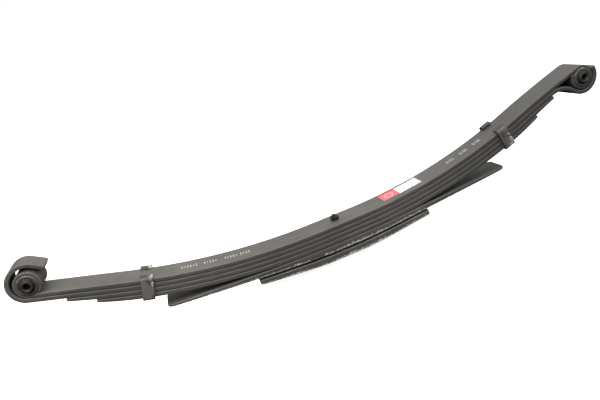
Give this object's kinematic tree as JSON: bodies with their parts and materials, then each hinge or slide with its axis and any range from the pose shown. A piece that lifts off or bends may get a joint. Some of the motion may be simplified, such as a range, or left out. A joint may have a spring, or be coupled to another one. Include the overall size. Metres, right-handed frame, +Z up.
{
  "type": "multi-leaf vehicle spring",
  "caption": "Free-camber multi-leaf vehicle spring with helper leaves, rolled eyes with rubber bushes, wrapper leaf, clips and centre bolt.",
  "frame": {"origin": "on the centre bolt's axis, level with the underside of the lowest helper leaf, which is the axle seat face", "axes": "+X along the spring towards the downturned eye, +Y across the leaves, +Z up from the axle seat through the pack"},
  "size_m": [1.3598, 0.086, 0.2632],
  "materials": {
    "spring_paint": "satin dark grey paint on rolled steel",
    "bare_steel": "black oxide steel, oversprayed",
    "sleeve_steel": "dull steel tube, partly oversprayed",
    "bush_rubber": "matt black rubber",
    "clip_steel": "dark paint worn to bare steel at the corners",
    "label_paper": "coated paper label"
  },
  "bodies": {
    "pack": {"main_leaf": "spring_paint", "wrapper_leaf": "spring_paint", "third_leaf": "spring_paint", "fourth_leaf": "spring_paint", "upper_helper_leaf": "spring_paint", "lower_helper_leaf": "spring_paint", "helper_spacer": "bare_steel", "centre_bolt": "bare_steel", "centre_nut": "bare_steel", "left_bush_outer_sleeve": "sleeve_steel", "left_bush_rubber": "bush_rubber", "right_bush_outer_sleeve": "sleeve_steel", "right_bush_rubber": "bush_rubber", "left_clip": "clip_steel", "right_clip": "clip_steel", "left_clip_rivet": "clip_steel", "right_clip_rivet": "clip_steel", "paper_label": "label_paper"},
    "left_inner_sleeve": {"left_bush_inner_sleeve": "sleeve_steel"},
    "right_inner_sleeve": {"right_bush_inner_sleeve": "sleeve_steel"}
  },
  "joints": [
    {"name": "left_bush_twist", "type": "hinge", "parent": "pack", "child": "left_inner_sleeve", "pos_m": [-0.63497, 0, 0.21091], "axis": [0, 1, 0], "range_deg": [-20, 20], "stiffness_Nm_per_rad": 6},
    {"name": "right_bush_twist", "type": "hinge", "parent": "pack", "child": "right_inner_sleeve", "pos_m": [0.64386, 0, 0.18467], "axis": [0, 1, 0], "range_deg": [-20, 20], "stiffness_Nm_per_rad": 6}
  ]
}
